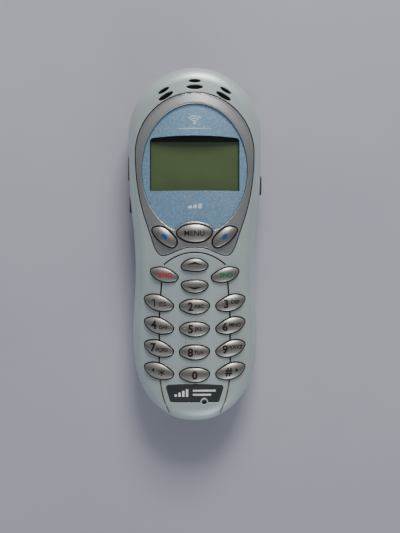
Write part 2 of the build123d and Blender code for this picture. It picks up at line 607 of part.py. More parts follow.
# Side keys: a cap through the wall and a flange inside it. The volume key has two ridges, and rocks on a stub pin
# above it and one below.
ROCK_X, ROCK_PIN_R, ROCK_PIN_OUT = -21.6, 0.45, 0.22
for name, (out, key_y, half, wall_x, face_x) in SIDE_KEYS.items():
    inner = wall_x - WALL - 0.9
    with BuildPart() as side_key:
        with BuildSketch(Plane(origin=(out * inner, key_y, SIDE_Z), x_dir=(0, 1, 0), z_dir=(out, 0, 0))):
            RectangleRounded(2 * half, SIDE_H, 0.9)
        extrude(amount=face_x - inner)
        fillet(side_key.faces().sort_by(Axis.X)[0 if out < 0 else -1].edges(), 0.45)
        with BuildSketch(Plane(origin=(out * inner, key_y, SIDE_Z - 0.5), x_dir=(0, 1, 0), z_dir=(out, 0, 0))):
            RectangleRounded(2 * half + 1.6, 2.8, 0.4)
        extrude(amount=0.55)
        if name == "volume_key":
            for ridge_y in (key_y - half + 1.4, key_y + half - 1.4):
                block(out * face_x, out * (face_x - 0.4), ridge_y - 0.8, ridge_y + 0.8, 8.9, 9.3)
            pin_reach = SIDE_H / 2 + ROCK_PIN_OUT
            rod(ROCK_PIN_R, (ROCK_X, key_y, SIDE_Z - pin_reach), (ROCK_X, key_y, SIDE_Z + pin_reach))
    save(side_key, name)

# Tactile switches under the board's edge, one behind each press of a side key.
SWITCH_T = 0.8
SWITCHES = {
    "volume_switch_up": (-18.9, 30.2),
    "volume_switch_down": (-18.9, 23.8),
    "smart_switch": (-18.2, 14.3),
    "voice_switch": (19.1, 21.0),
}
for name, (tip_x, switch_y) in SWITCHES.items():
    root_x = tip_x - math.copysign(SWITCH_T, tip_x)
    with BuildPart() as switch:
        block(min(tip_x, root_x), max(tip_x, root_x), switch_y - 1.5, switch_y + 1.5, 8.0, BOARD_Z)
    save(switch, name)

# Headset jack: a barrel with a 2.5 mm plug bore, open at the top end of the phone.
with BuildPart() as headset_jack:
    rod(JACK_R, (0, 49, JACK_Z), (0, HALF_L - 0.6, JACK_Z))
    block(-3.2, 3.2, 49, 57, JACK_Z - 2.7, BOARD_Z - 0.05)
    rod(JACK_BORE_R, (0, HALF_L - 10.6, JACK_Z), (0, HALF_L + 1, JACK_Z), mode=Mode.SUBTRACT)
save(headset_jack, "headset_jack")

# Accessory connector: a shell with a contact tongue, open at the bottom end of the phone.
with BuildPart() as accessory_connector:
    block(-7.3, 7.3, -59.6, -51.5, 6.1, 9.3)
    block(-6.7, 6.7, -60.0, -53.5, 6.7, 8.7, mode=Mode.SUBTRACT)
    block(-6.0, 6.0, -59.0, -53.0, 7.4, 7.95)
    block(-6.4, 6.4, -53.4, -51.5, 9.2, BOARD_Z - 0.02)
save(accessory_connector, "accessory_connector")

# Two folded shield cans under the board.
CAN_T = 0.3
CANS = {"shield_can_logic": (-14.5, 13.5, -38.0, -2.0, 8.45), "shield_can_radio": (-3.0, 12.0, 22.5, 38.0, 6.0)}
for name, (left, right, low, high, floor) in CANS.items():
    with BuildPart() as can:
        block(left, right, low, high, floor, BOARD_Z)
        block(left + CAN_T, right - CAN_T, low + CAN_T, high - CAN_T, floor + CAN_T, BOARD_Z, mode=Mode.SUBTRACT)
    save(can, name)

# Ringer and vibration motor, also under the board.
with BuildPart() as ringer:
    rod(4.8, (-10.6, 32.5, 5.2), (-10.6, 32.5, BOARD_Z))
    fillet(ringer.edges().group_by(Axis.Z)[0], 0.6)
    rod(0.9, (-10.6, 32.5, 4), (-10.6, 32.5, 6.2), mode=Mode.SUBTRACT)
save(ringer, "ringer")

MOTOR_Y, MOTOR_Z = -45.6, 6.4
with BuildPart() as vibration_motor:
    rod(2.1, (-4.6, MOTOR_Y, MOTOR_Z), (4.2, MOTOR_Y, MOTOR_Z))
    rod(0.4, (4.2, MOTOR_Y, MOTOR_Z), (7.2, MOTOR_Y, MOTOR_Z))
    block(-4.4, 4.0, MOTOR_Y - 1.4, MOTOR_Y + 1.4, MOTOR_Z + 1.6, BOARD_Z)
    with BuildSketch(Plane(origin=(4.8, MOTOR_Y, MOTOR_Z), z_dir=(1, 0, 0))):
        Circle(2.0)
        with Locations((0, 1.3)):
            Rectangle(6, 2.4, mode=Mode.SUBTRACT)
    extrude(amount=2.2)
save(vibration_motor, "vibration_motor")

# Four cross-head screws from the back, through the rear posts into the front ones.
for number, (x, y) in enumerate(SCREWS, start=1):
    with BuildPart() as screw:
        rod(1.6, (x, y, 1.05), (x, y, 2.15))
        rod(0.82, (x, y, 2.1), (x, y, 14.5))
        fillet(screw.edges().group_by(Axis.Z)[0], 0.3)
        for turn in (0, 90):
            with BuildSketch(Plane.XY.offset(1.0)):
                with Locations(Location((x, y), turn)):
                    Rectangle(1.9, 0.4)
            extrude(amount=0.55, mode=Mode.SUBTRACT)
    save(screw, "housing_screw_" + str(number))
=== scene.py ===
import math

import bpy
from mathutils import Matrix, Vector


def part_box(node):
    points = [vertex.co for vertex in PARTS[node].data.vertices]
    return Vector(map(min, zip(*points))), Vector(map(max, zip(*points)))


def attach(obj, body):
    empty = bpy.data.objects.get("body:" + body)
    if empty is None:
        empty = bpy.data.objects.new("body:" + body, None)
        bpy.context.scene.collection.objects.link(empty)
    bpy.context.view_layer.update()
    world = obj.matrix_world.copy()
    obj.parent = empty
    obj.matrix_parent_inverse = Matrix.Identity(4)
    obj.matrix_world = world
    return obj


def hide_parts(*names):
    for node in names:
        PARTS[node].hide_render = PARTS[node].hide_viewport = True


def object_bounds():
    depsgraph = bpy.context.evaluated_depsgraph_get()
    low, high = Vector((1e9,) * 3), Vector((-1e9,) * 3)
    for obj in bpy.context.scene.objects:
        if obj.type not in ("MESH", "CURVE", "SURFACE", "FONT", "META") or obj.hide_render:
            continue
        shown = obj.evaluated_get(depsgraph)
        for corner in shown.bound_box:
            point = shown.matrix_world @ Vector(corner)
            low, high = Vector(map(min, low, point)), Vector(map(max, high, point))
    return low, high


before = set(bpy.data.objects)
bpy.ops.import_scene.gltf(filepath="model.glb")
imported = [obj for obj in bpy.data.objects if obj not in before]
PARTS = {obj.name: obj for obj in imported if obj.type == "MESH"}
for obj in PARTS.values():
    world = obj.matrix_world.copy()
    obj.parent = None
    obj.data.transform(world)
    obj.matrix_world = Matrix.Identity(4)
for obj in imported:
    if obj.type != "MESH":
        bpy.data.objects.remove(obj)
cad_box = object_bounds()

scene = bpy.context.scene

# The table under the phone: a plain pale laminate top with a very fine tooth.
# The phone lies on its flat back in the middle of it.


def add_node(tree, kind, inputs=(), **settings):
    """One node of a tree: its settings, then its inputs, each a constant or another node's output."""
    made = tree.nodes.new(kind)
    for name, value in settings.items():
        setattr(made, name, value)
    for name, value in dict(inputs).items():
        if isinstance(value, bpy.types.NodeSocket):
            tree.links.new(value, made.inputs[name])
        else:
            made.inputs[name].default_value = value
    return made


def new_finish(name):
    """An empty material, its node tree and the object coordinates that its patterns read."""
    finish = bpy.data.materials.new(name)
    finish.use_nodes = True
    tree = finish.node_tree
    tree.nodes.clear()
    place = add_node(tree, "ShaderNodeTexCoord").outputs["Object"]
    return finish, tree, place


def skin(tree, **sockets):
    """The surface of a finish, ready with its output."""
    names = {key.replace("_", " "): value for key, value in sockets.items()}
    surface = add_node(tree, "ShaderNodeBsdfPrincipled", names)
    add_node(tree, "ShaderNodeOutputMaterial", {"Surface": surface.outputs[0]})
    return surface


def mixed(tree, share, first, second):
    """A colour between two, by a share."""
    made = add_node(tree, "ShaderNodeMix", {0: share, 6: first, 7: second}, data_type="RGBA")
    return made.outputs[2]


def ranged(tree, value, low, high, to_low=0.0, to_high=1.0):
    """A value carried from one range to another and held inside it."""
    made = add_node(
        tree,
        "ShaderNodeMapRange",
        {"Value": value, "From Min": low, "From Max": high, "To Min": to_low, "To Max": to_high},
    )
    return made.outputs[0]


def worked(tree, operation, *values, **settings):
    """A sum on numbers or masks."""
    made = add_node(tree, "ShaderNodeMath", dict(enumerate(values)), operation=operation, **settings)
    return made.outputs[0]


def open_group(name, takes, gives):
    """An empty node group: name, kind and start value of each input, name and kind of each output."""
    group = bpy.data.node_groups.new(name, "ShaderNodeTree")
    for label, kind, start in takes:
        socket = group.interface.new_socket(label, in_out="INPUT", socket_type="NodeSocket" + kind)
        if start is not None:
            socket.default_value = start
    for label, kind in gives:
        group.interface.new_socket(label, in_out="OUTPUT", socket_type="NodeSocket" + kind)
    return group, group.nodes.new("NodeGroupInput").outputs, group.nodes.new("NodeGroupOutput").inputs


def use_group(tree, group, **values):
    """A group placed in a material with its own values."""
    made = tree.nodes.new("ShaderNodeGroup")
    made.node_tree = group
    for label, value in values.items():
        label = label.replace("_", " ")
        if isinstance(value, bpy.types.NodeSocket):
            tree.links.new(value, made.inputs[label])
        else:
            made.inputs[label].default_value = value
    return made.outputs


# grain: a fine tooth and a broad mottle over it, as moulded, painted and blasted surfaces have
grain, taken, given = open_group(
    "grain",
    [("Place", "Vector", None), ("Fine", "Float", 4000.0), ("Broad", "Float", 120.0)],
    [("Tooth", "Float"), ("Mottle", "Float"), ("Height", "Float")],
)
tooth = add_node(
    grain,
    "ShaderNodeTexNoise",
    {"Vector": taken["Place"], "Scale": taken["Fine"], "Detail": 3.0, "Roughness": 0.6},
).outputs[0]
mottle = add_node(
    grain,
    "ShaderNodeTexNoise",
    {"Vector": taken["Place"], "Scale": taken["Broad"], "Detail": 4.0, "Roughness": 0.55},
).outputs[0]
grain.links.new(tooth, given["Tooth"])
grain.links.new(ranged(grain, mottle, 0.3, 0.7), given["Mottle"])
grain.links.new(worked(grain, "ADD", tooth, mottle), given["Height"])

table_top, tree, place = new_finish("table_laminate")
tooth = use_group(tree, grain, Place=place, Fine=900.0, Broad=9.0)
tone = mixed(tree, tooth["Mottle"], (0.44, 0.43, 0.5, 1), (0.48, 0.475, 0.54, 1))
bump = add_node(tree, "ShaderNodeBump", {"Strength": 0.08, "Distance": 0.0002, "Height": tooth["Height"]})
skin(tree, Base_Color=tone, Roughness=0.6, Specular_IOR_Level=0.25, Normal=bump.outputs[0])

TABLE_HALF, TABLE_DROP = 0.9, 0.00003
table_z = cad_box[0][2] - TABLE_DROP
corners = [(x * TABLE_HALF, y * TABLE_HALF, table_z) for x, y in ((-1, -1), (1, -1), (1, 1), (-1, 1))]
table = bpy.data.objects.new("table", bpy.data.meshes.new("table"))
table.data.from_pydata(corners, [], [(0, 1, 2, 3)])
table.data.materials.append(table_top)
scene.collection.objects.link(table)

# The light: one softbox beyond the earpiece end, a dim one beyond the chin, and a room that is
# brighter at those two ends than overhead. The camera looks straight down on the face.


def softbox(name, toward, distance, size, power, tint):
    """A square lamp at a distance in a direction from the phone, facing it."""
    lamp = bpy.data.lights.new(name, "AREA")
    lamp.size = size
    lamp.energy = power
    lamp.color = tint
    holder = bpy.data.objects.new(name, lamp)
    spot = Vector(toward).normalized() * distance
    holder.matrix_world = Matrix.Translation(spot) @ spot.to_track_quat("Z", "Y").to_matrix().to_4x4()
    scene.collection.objects.link(holder)


softbox("window_softbox", (0.12, 0.8, 0.6), 0.8, 0.3, 5.6, (1.0, 0.99, 0.97))
softbox("chin_softbox", (0.25, -0.85, 0.4), 0.9, 0.45, 1.6, (0.95, 0.98, 1.0))

room = bpy.data.worlds.new("room")
scene.world = room
room.use_nodes = True
room.node_tree.nodes.clear()
facing = add_node(room.node_tree, "ShaderNodeTexCoord").outputs["Generated"]
along = add_node(room.node_tree, "ShaderNodeSeparateXYZ", {0: facing}).outputs["Y"]
far = worked(room.node_tree, "ABSOLUTE", along)
glare = ranged(room.node_tree, far, 0.1, 0.75)
walls = mixed(room.node_tree, glare, (0.1, 0.105, 0.125, 1), (0.6, 0.65, 0.7, 1))
glow = add_node(room.node_tree, "ShaderNodeBackground", {"Color": walls, "Strength": 0.85})
add_node(room.node_tree, "ShaderNodeOutputWorld", {"Surface": glow.outputs[0]})

FOCAL_MM, SENSOR_MM, EYE = 67.3, 36.0, (0.00183, -0.00756, 0.3614)
camera = bpy.data.objects.new("camera", bpy.data.cameras.new("camera"))
camera.data.lens = FOCAL_MM
camera.data.sensor_width = SENSOR_MM
camera.data.clip_start = 0.01
camera.location = EYE
scene.collection.objects.link(camera)
scene.camera = camera

# The two housings: injection-moulded ABS, sprayed in a pale blue-silver lacquer with fine flake.
# The halves meet at a thin parting line and four screws from the back hold them together.

# worn edge: where a rounded corner turns away from the true face, broken up along its length
worn_edge, taken, given = open_group(
    "worn_edge",
    [("Place", "Vector", None), ("Reach", "Float", 0.0003), ("Patch", "Float", 900.0)],
    [("Mask", "Float"), ("Normal", "Vector")],
)
rounded = add_node(worn_edge, "ShaderNodeBevel", {"Radius": taken["Reach"]}, samples=6).outputs[0]
true_face = add_node(worn_edge, "ShaderNodeNewGeometry").outputs["Normal"]
turn = add_node(worn_edge, "ShaderNodeVectorMath", {0: rounded, 1: true_face}, operation="DOT_PRODUCT")
off = ranged(worn_edge, turn.outputs["Value"], 0.985, 0.80)
patch = add_node(
    worn_edge, "ShaderNodeTexNoise", {"Vector": taken["Place"], "Scale": taken["Patch"], "Detail": 5.0}
)
broken = ranged(worn_edge, patch.outputs[0], 0.42, 0.6)
worn_edge.links.new(worked(worn_edge, "MULTIPLY", off, broken), given["Mask"])
worn_edge.links.new(rounded, given["Normal"])

# grime and gap shade: tan hand dirt held in narrow gaps and grooves, thicker in some places than others, and
# painted near-black shade in the deepest gaps, both read from ambient occlusion
settled_grime, taken, given = open_group(
    "settled_grime",
    [("Place", "Vector", None), ("Reach", "Float", 0.0008), ("Amount", "Float", 1.0)],
    [("Dust", "Float"), ("Soot", "Float")],
)
shelter = add_node(
    settled_grime, "ShaderNodeAmbientOcclusion", {"Distance": taken["Reach"]}, samples=8
).outputs["AO"]
drift = add_node(
    settled_grime, "ShaderNodeTexNoise", {"Vector": taken["Place"], "Scale": 260.0, "Detail": 5.0}
)
spread = ranged(settled_grime, drift.outputs[0], 0.38, 0.62, 0.3, 1.0)
held = worked(settled_grime, "MULTIPLY", ranged(settled_grime, shelter, 0.88, 0.6), spread)
thick = worked(settled_grime, "MULTIPLY", held, taken["Amount"], use_clamp=True)
settled_grime.links.new(thick, given["Dust"])
# painted shade: near-black where a gap is deepest, standing for the shadow inside it
gap_shade_mask = ranged(settled_grime, shelter, 0.66, 0.4)
black = worked(settled_grime, "MULTIPLY", gap_shade_mask, taken["Amount"], use_clamp=True)
settled_grime.links.new(black, given["Soot"])

# flake: the small bright platelets in a metallic lacquer
flake, taken, given = open_group(
    "flake",
    [("Place", "Vector", None), ("Count", "Float", 5200.0), ("Share", "Float", 0.25)],
    [("Spark", "Float")],
)
cells = add_node(flake, "ShaderNodeTexVoronoi", {"Vector": taken["Place"], "Scale": taken["Count"]})
chance = add_node(flake, "ShaderNodeSeparateColor", {0: cells.outputs["Color"]}).outputs[0]
bright = worked(flake, "GREATER_THAN", chance, worked(flake, "SUBTRACT", 1.0, taken["Share"]))
flake.links.new(bright, given["Spark"])

# The first colour is tan dirt; the second is near-black painted shade for the deepest gaps.
DUST, GAP_SHADE = (0.2, 0.155, 0.095, 1), (0.022, 0.016, 0.012, 1)
FLAKE_SHARE, FLAKE_TINT = 0.2, (0.95, 0.97, 1.0, 1)


def lacquer(
    name,
    dark,
    pale,
    edge_tint,
    metal,
    gloss,
    sparkle,
    reach=0.00025,
    dirt=1.0,
    flakes=5200.0,
    fine=2600.0,
    deep=0.00001,
    clean_oval=None,
):
    """A sprayed metallic lacquer: flake and mottle in its colour, paler worn edges, dirt in its corners and
    painted near-black shade in its deepest gaps.
    """
    finish, tree, place = new_finish(name)
    body = use_group(tree, grain, Place=place, Fine=fine, Broad=70.0)
    spark = use_group(tree, flake, Place=place, Count=flakes, Share=FLAKE_SHARE)
    edge = use_group(tree, worn_edge, Place=place, Reach=reach)
    coat = mixed(tree, body["Mottle"], dark, pale)
    coat = mixed(tree, worked(tree, "MULTIPLY", spark["Spark"], sparkle), coat, FLAKE_TINT)
    coat = mixed(tree, worked(tree, "MULTIPLY", edge["Mask"], 0.5), coat, edge_tint)
    rough = ranged(tree, body["Tooth"], 0.3, 0.7, gloss - 0.04, gloss + 0.06)
    shine = metal
    if clean_oval:  # no dirt and no painted gap shade inside an oval given by its middle in Y and its half sizes
        middle_y, half_x, half_y = clean_oval
        off_middle = add_node(
            tree, "ShaderNodeVectorMath", {0: place, 1: (0, middle_y, 0)}, operation="SUBTRACT"
        ).outputs[0]
        shares = add_node(
            tree,
            "ShaderNodeVectorMath",
            {0: off_middle, 1: (1 / half_x, 1 / half_y, 0)},
            operation="MULTIPLY",
        ).outputs[0]
        out = add_node(tree, "ShaderNodeVectorMath", {0: shares}, operation="LENGTH").outputs["Value"]
        dirt = ranged(tree, out, 1.0, 1.04, 0.0, dirt)
    if dirt:
        grime_and_shade = use_group(tree, settled_grime, Place=place, Amount=dirt)
        coat = mixed(tree, grime_and_shade["Dust"], coat, DUST)
        # painted shade: near-black in the deepest gaps and grooves
        coat = mixed(tree, grime_and_shade["Soot"], coat, GAP_SHADE)
        rough = worked(tree, "MULTIPLY_ADD", grime_and_shade["Dust"], 0.4, rough)
        shine = ranged(tree, grime_and_shade["Dust"], 0.0, 0.6, metal, 0.0)
    bump = add_node(
        tree,
        "ShaderNodeBump",
        {"Strength": 0.25, "Distance": deep, "Height": body["Height"], "Normal": edge["Normal"]},
    )
    skin(
        tree,
        Base_Color=coat,
        Metallic=shine,
        Roughness=rough,
        Normal=bump.outputs[0],
        Coat_Weight=0.1,
        Coat_Roughness=0.3,
    )
    return finish


def dress(finish, slot, *names):
    """Give carried-over pieces their finish."""
    for name in names:
        PARTS[name].data.materials.clear()
        PARTS[name].data.materials.append(finish)


# The lacquer paints near-black shade into the case's narrow gaps and grooves, with tan dust.
case_lacquer = lacquer(
    "case_lacquer",
    (0.50, 0.575, 0.57, 1),
    (0.56, 0.64, 0.63, 1),
    (0.74, 0.8, 0.79, 1),
    0.5,
    0.42,
    sparkle=0.1,
)
dress(case_lacquer, "case_paint", "front_housing", "rear_housing", "battery_door", "door_latch")

# Knocks on the front housing: a dark hairline crack in the moulding between the 5 and 8 keys, and a
# chip in the lacquer beside the groove under the send key, down to the buff plastic.

MM = 0.001
FALL_FROM, FALL_LENGTH = 0.04, 0.1


def open_tree(name, takes, gives):
    """An empty geometry tree with its named inputs and its one output."""
    tree = bpy.data.node_groups.new(name, "GeometryNodeTree")
    for label, kind in takes:
        tree.interface.new_socket(label, in_out="INPUT", socket_type="NodeSocket" + kind)
    tree.interface.new_socket(gives, in_out="OUTPUT", socket_type="NodeSocketGeometry")
    return tree, tree.nodes.new("NodeGroupInput").outputs, tree.nodes.new("NodeGroupOutput").inputs


def fall_onto(tree, ground, start):
    """Where points come straight down on an object, and which of them miss it."""
    under = add_node(tree, "GeometryNodeObjectInfo", {"Object": ground})
    fall = add_node(
        tree,
        "GeometryNodeRaycast",
        {
            "Target Geometry": under.outputs["Geometry"],
            "Source Position": start,
            "Ray Direction": (0, 0, -1),
            "Ray Length": FALL_LENGTH,
        },
    ).outputs
    missed = add_node(tree, "FunctionNodeBooleanMath", {0: fall["Is Hit"]}, operation="NOT").outputs[0]
    return fall["Hit Position"], missed


# printed_on: lays a flat shape on the face below it as a thin closed film of ink or lacquer
printed_on, taken, given = open_tree(
    "printed_on",
    [("Shape", "Geometry"), ("Ground", "Object"), ("Steps", "Int"), ("Proud", "Float"), ("Ink", "Material")],
    "Film",
)
fine_sheet = add_node(
    printed_on, "GeometryNodeSubdivideMesh", {"Mesh": taken["Shape"], "Level": taken["Steps"]}
)
flat_place = add_node(printed_on, "GeometryNodeInputPosition").outputs[0]
high = add_node(printed_on, "ShaderNodeVectorMath", {0: flat_place, 1: (0, 0, FALL_FROM)})
landed, missed = fall_onto(printed_on, taken["Ground"], high.outputs[0])
down = worked(printed_on, "SUBTRACT", 0.0, taken["Proud"])
sink = add_node(printed_on, "ShaderNodeCombineXYZ", {"Z": down})
sunk = add_node(printed_on, "ShaderNodeVectorMath", {0: landed, 1: sink.outputs[0]})
laid = add_node(
    printed_on, "GeometryNodeSetPosition", {"Geometry": fine_sheet.outputs[0], "Position": sunk.outputs[0]}
)
kept = add_node(
    printed_on,
    "GeometryNodeDeleteGeometry",
    {"Geometry": laid.outputs[0], "Selection": missed},
    domain="FACE",
)
raised = add_node(
    printed_on,
    "GeometryNodeExtrudeMesh",
    {
        "Mesh": kept.outputs[0],
        "Offset": (0, 0, 1),
        "Offset Scale": worked(printed_on, "MULTIPLY", 2.0, taken["Proud"]),
        "Individual": False,
    },
)
bottom = add_node(printed_on, "GeometryNodeFlipFaces", {"Mesh": kept.outputs[0]})
both = printed_on.nodes.new("GeometryNodeJoinGeometry")
printed_on.links.new(raised.outputs["Mesh"], both.inputs[0])
printed_on.links.new(bottom.outputs[0], both.inputs[0])
welded = add_node(
    printed_on, "GeometryNodeMergeByDistance", {"Geometry": both.outputs[0], "Distance": 0.000001}
)
real = add_node(printed_on, "GeometryNodeRealizeInstances", {"Geometry": welded.outputs[0]})
inked = add_node(
    printed_on, "GeometryNodeSetMaterial", {"Geometry": real.outputs[0], "Material": taken["Ink"]}
)
printed_on.links.new(inked.outputs[0], given[0])


def grown(tree, holder, values):
    """Run a geometry tree on an object with its inputs set, and keep the result as its plain mesh."""
    run = holder.modifiers.new("grown", "NODES")
    run.node_group = tree
    for item in tree.interface.items_tree:
        if item.in_out == "INPUT" and item.name in values:
            run[item.identifier] = values[item.name]
    bpy.context.view_layer.update()
    done = bpy.data.meshes.new_from_object(holder.evaluated_get(bpy.context.evaluated_depsgraph_get()))
    holder.modifiers.clear()
    holder.data = done


def print_film(name, outlines, ground, ink, body, steps, proud):
    """Flat outlines in millimetres, or flat meshes, laid on a piece as one film that moves with a body."""
    sheet = bpy.data.meshes.new(name)
    points, faces = [], []
    for outline in outlines:
        start = len(points)
        if isinstance(outline, bpy.types.Mesh):
            points += [tuple(vertex.co) for vertex in outline.vertices]
            faces += [[start + corner for corner in polygon.vertices] for polygon in outline.polygons]
        else:
            points += [(x * MM, y * MM, 0.0) for x, y in outline]
            faces.append(list(range(start, len(points))))
    sheet.from_pydata(points, [], faces)
    film = bpy.data.objects.new(name, sheet)
    scene.collection.objects.link(film)
    grown(printed_on, film, {"Ground": PARTS[ground], "Steps": steps, "Proud": proud, "Ink": ink})
    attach(film, body)


def ribbon(centre_line, widths):
    """Quads along a flat line, as wide as asked at each of its points."""
    sides = []
    for index, (x, y) in enumerate(centre_line):
        back, ahead = centre_line[max(index - 1, 0)], centre_line[min(index + 1, len(centre_line) - 1)]
        run = Vector((ahead[0] - back[0], ahead[1] - back[1])).normalized()
        half = widths[index] / 2
        sides.append(((x - run.y * half, y + run.x * half), (x + run.y * half, y - run.x * half)))
    return [(low[0], low[1], high[1], high[0]) for low, high in zip(sides, sides[1:])]


def plain_ink(name, tint, gloss):
    """A pad-printed ink: nearly flat, thin in places."""
    finish, tree, place = new_finish(name)
    body = use_group(tree, grain, Place=place, Fine=9000.0, Broad=400.0)
    thin = tuple(min(1.0, channel * 1.3 + 0.006) for channel in tint[:3]) + (1,)
    coat = mixed(tree, body["Mottle"], tint, thin)
    bump = add_node(tree, "ShaderNodeBump", {"Strength": 0.2, "Distance": 0.00001, "Height": body["Height"]})
    rough = ranged(tree, body["Tooth"], 0.3, 0.7, gloss, gloss + 0.15)
    skin(tree, Base_Color=coat, Roughness=rough, Specular_IOR_Level=0.2, Normal=bump.outputs[0])
    return finish


bare_buff = plain_ink("bare_buff_plastic", (0.34, 0.27, 0.17, 1), 0.6)
crack_dark = plain_ink("crack_dark", (0.07, 0.06, 0.05, 1), 0.8)
CRACK = ((-3.1, -32.4), (-3.05, -32.9), (-3.2, -33.5), (-3.1, -34.1), (-3.25, -34.7))
crack = ribbon(CRACK, (0.12, 0.07, 0.09, 0.06, 0.04))
print_film("hairline_crack", crack, "front_housing", crack_dark, "housing", 2, 0.000012)
CHIP = (
    (10.85, -14.2),
    (10.95, -14.6),
    (11.0, -15.2),
    (11.3, -15.5),
    (11.45, -15.1),
    (11.2, -14.7),
    (11.3, -14.25),
    (11.05, -13.9),
)
print_film("lacquer_chip", [CHIP], "front_housing", bare_buff, "housing", 3, 0.000015)

# Films laid in the front housing's grooves: near-black down to the waist, painted shade of the grooves
# together with dirt, and buff dust at the chin. The arch passes over the up key and a thread runs down each
# side.
# painted shade: the near-black film stands for the grooves' shade, with some dirt
groove_shade_ink = plain_ink("packed_dirt", (0.03, 0.022, 0.016, 1), 0.75)
packed_buff = plain_ink("packed_dust", (0.2, 0.165, 0.105, 1), 0.8)
GROOVE_FILM_STEPS, GROOVE_FILM_PROUD = 1, 0.00001
ARCH_R, ARCH_MIDDLE_Y, ARCH_WIDE = 15.34, -18.09, 0.62
arch = [
    (ARCH_R * math.sin(math.radians(turn)), ARCH_MIDDLE_Y + ARCH_R * math.cos(math.radians(turn)))
    for turn in range(-43, 44, 2)
]
arch_band = ribbon(arch, [ARCH_WIDE] * len(arch))
print_film(
    "arch_dirt", arch_band, "front_housing", groove_shade_ink, "housing", GROOVE_FILM_STEPS, GROOVE_FILM_PROUD
)
THREAD = (
    (11.43, -13.5),
    (11.5, -15.0),
    (12.1, -24.0),
    (12.2, -34.0),
    (11.9, -46.7),
    (10.6, -52.9),
    (8.7, -58.2),
)
THREAD_PIECES = 8  # points made between one stop and the next
DARK_WIDE, DARK_ENDS_Y = 0.6, -46.5
BUFF_WIDE, BUFF_STARTS_Y = 0.5, -45.0


def smooth_line(stops):
    """Points along a smooth line through a few stops."""
    ends = [stops[0], *stops, stops[-1]]
    found = []
    for before, start, end, after in zip(ends, ends[1:], ends[2:], ends[3:]):
        for piece in range(THREAD_PIECES):
            t = piece / THREAD_PIECES
            point = []
            for a, b, c, d in zip(before, start, end, after):
                curve = (2 * a - 5 * b + 4 * c - d) * t * t + (3 * b - a - 3 * c + d) * t**3
                point.append(0.5 * (2 * b + (c - a) * t + curve))
            found.append(tuple(point))
    return found + [stops[-1]]


for side, name in ((-1, "left_thread"), (1, "right_thread")):
    run = smooth_line([(side * x, y) for x, y in THREAD])
    dark = [point for point in run if point[1] > DARK_ENDS_Y]
    buff = [point for point in run if point[1] < BUFF_STARTS_Y]
    for ending, line, wide, ink in (
        ("_dirt", dark, DARK_WIDE, groove_shade_ink),
        ("_dust", buff, BUFF_WIDE, packed_buff),
    ):
        band = ribbon(line, [wide] * len(line))
        print_film(name + ending, band, "front_housing", ink, "housing", GROOVE_FILM_STEPS, GROOVE_FILM_PROUD)

# The bezel: a moulded ring lacquered in a brighter silver, with soft edges, pressed into the front housing
# around the lens and three of the keys.
LENS_MIDDLE_Y, LENS_HALF_X, LENS_HALF_Y, LENS_CLEAR = 25.5, 18.1, 22.3, 0.2
# The lacquer paints near-black shade into the gap round the bezel, with tan dust.
bezel_lacquer = lacquer(
    "bezel_lacquer",
    (0.62, 0.615, 0.59, 1),
    (0.67, 0.665, 0.64, 1),
    (0.8, 0.79, 0.76, 1),
    0.9,
    0.3,
    reach=0.0004,
    sparkle=0.08,
    fine=6000.0,
    deep=0.000004,
    clean_oval=(LENS_MIDDLE_Y * MM, (LENS_HALF_X + LENS_CLEAR) * MM, (LENS_HALF_Y + LENS_CLEAR) * MM),
)
dress(bezel_lacquer, "bezel_silver", "lens_bezel")
BEZEL_CELL, BEZEL_ROUNDS = 0.00018, 20
BEZEL_SINK = 0.08  # how far the whole top lies below the moulding
BEZEL_FALL, BEZEL_FALL_SPAN = 0.42, 0.15  # how far it falls away from the lens, over what share of its size
OUTER_EDGE, EDGE_TUCK = 1.04, 0.0001  # where the outer edge starts, as a share of the lens, and its inset

bezel = bpy.data.objects.new("bezel_ring", PARTS["lens_bezel"].data.copy())
scene.collection.objects.link(bezel)
weld = bezel.modifiers.new("weld", "WELD")
weld.merge_threshold = 0.000002
cells = bezel.modifiers.new("cells", "REMESH")
cells.mode = "VOXEL"
cells.voxel_size = BEZEL_CELL
cells.use_smooth_shade = True
soft = bezel.modifiers.new("soft", "SMOOTH")
soft.factor = 0.5
soft.iterations = BEZEL_ROUNDS
bpy.context.view_layer.update()
soft_mesh = bpy.data.meshes.new_from_object(bezel.evaluated_get(bpy.context.evaluated_depsgraph_get()))
bezel.modifiers.clear()
bezel.data = soft_mesh
for vertex, way in zip(soft_mesh.vertices, [tuple(normal.vector) for normal in soft_mesh.vertex_normals]):
    out = math.hypot(vertex.co.x / MM / LENS_HALF_X, (vertex.co.y / MM - LENS_MIDDLE_Y) / LENS_HALF_Y)
    fall = BEZEL_SINK + min(max((out - 1) / BEZEL_FALL_SPAN, 0.0), 1.0) * BEZEL_FALL
    vertex.co.z -= fall * max(way[2], 0.0) * MM
    if out > OUTER_EDGE:
        vertex.co.x -= way[0] * EDGE_TUCK
        vertex.co.y -= way[1] * EDGE_TUCK
soft_mesh.materials.clear()
soft_mesh.materials.append(bezel_lacquer)
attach(bezel, "housing")
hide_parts("lens_bezel")

